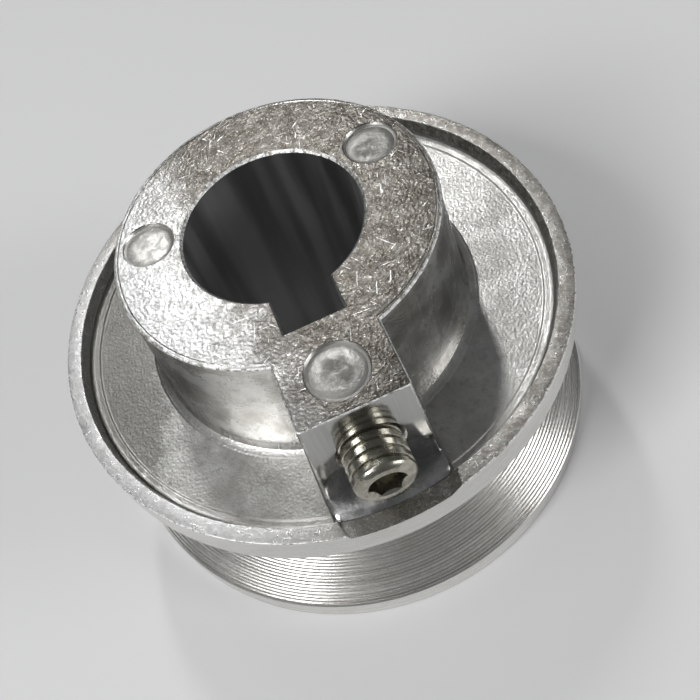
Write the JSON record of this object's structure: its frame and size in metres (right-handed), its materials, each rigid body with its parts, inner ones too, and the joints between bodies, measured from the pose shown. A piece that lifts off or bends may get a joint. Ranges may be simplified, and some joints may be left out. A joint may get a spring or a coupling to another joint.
{
  "type": "v belt pulley",
  "caption": "Cast single-groove V-belt pulley with a long keyed hub and a hex-socket set screw over the keyway.",
  "frame": {"origin": "on the bore axis, in the plane of the pulley's back face", "axes": "+Z along the bore axis, towards the hub's nose; the keyway, the boss and the set screw point to -Y"},
  "size_m": [0.0456, 0.0456, 0.0286],
  "materials": {
    "cast_aluminium": "bright die-cast skin with fine grain, turned groove flanks",
    "plated_steel": "warm grey nickel plating, slightly worn thread crests"
  },
  "bodies": {
    "pulley": {"pulley_casting": "cast_aluminium"},
    "screw": {"set_screw": "plated_steel"}
  },
  "joints": [
    {"name": "screw_travel", "type": "slide", "parent": "pulley", "child": "screw", "axis": [0, -1, 0], "range_m": [-0.0024, 0.0032]}
  ]
}
